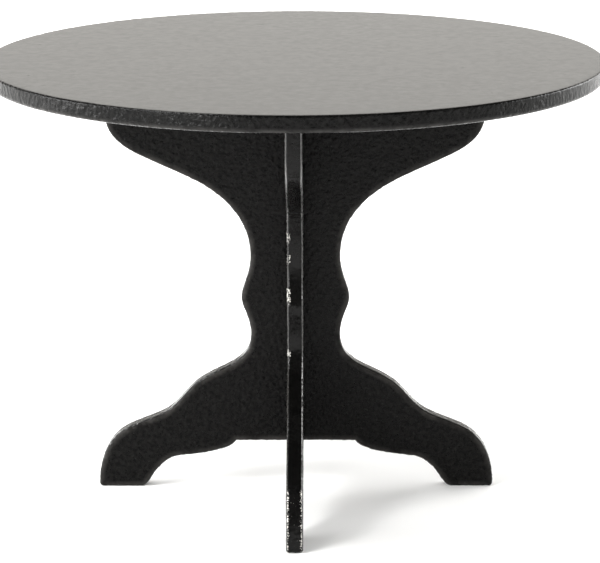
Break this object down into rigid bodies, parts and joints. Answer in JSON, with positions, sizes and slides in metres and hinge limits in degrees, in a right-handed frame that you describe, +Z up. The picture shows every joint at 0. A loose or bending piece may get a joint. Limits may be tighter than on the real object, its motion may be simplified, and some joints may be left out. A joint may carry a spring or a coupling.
{
  "type": "dolls house dining table",
  "caption": "Round black dolls' house dining table on a pedestal of two crossed scroll-cut boards with four feet.",
  "frame": {"origin": "on the floor, under the centre of the round top", "axes": "+Z up through the centre of the top; the four feet point along +X, -X, +Y and -Y"},
  "size_m": [0.089, 0.089, 0.0649],
  "materials": {
    "top_paint": "satin black paint over fibreboard",
    "board_paint": "semi-gloss black paint over fibreboard, slightly textured",
    "pin_steel": "bright drawn wire"
  },
  "bodies": {
    "root": {"table_top": "top_paint", "pedestal_board_left_right": "board_paint", "pedestal_board_front_back": "board_paint", "locating_pin_left": "pin_steel", "locating_pin_right": "pin_steel", "locating_pin_front": "pin_steel", "locating_pin_back": "pin_steel"}
  },
  "joints": []
}
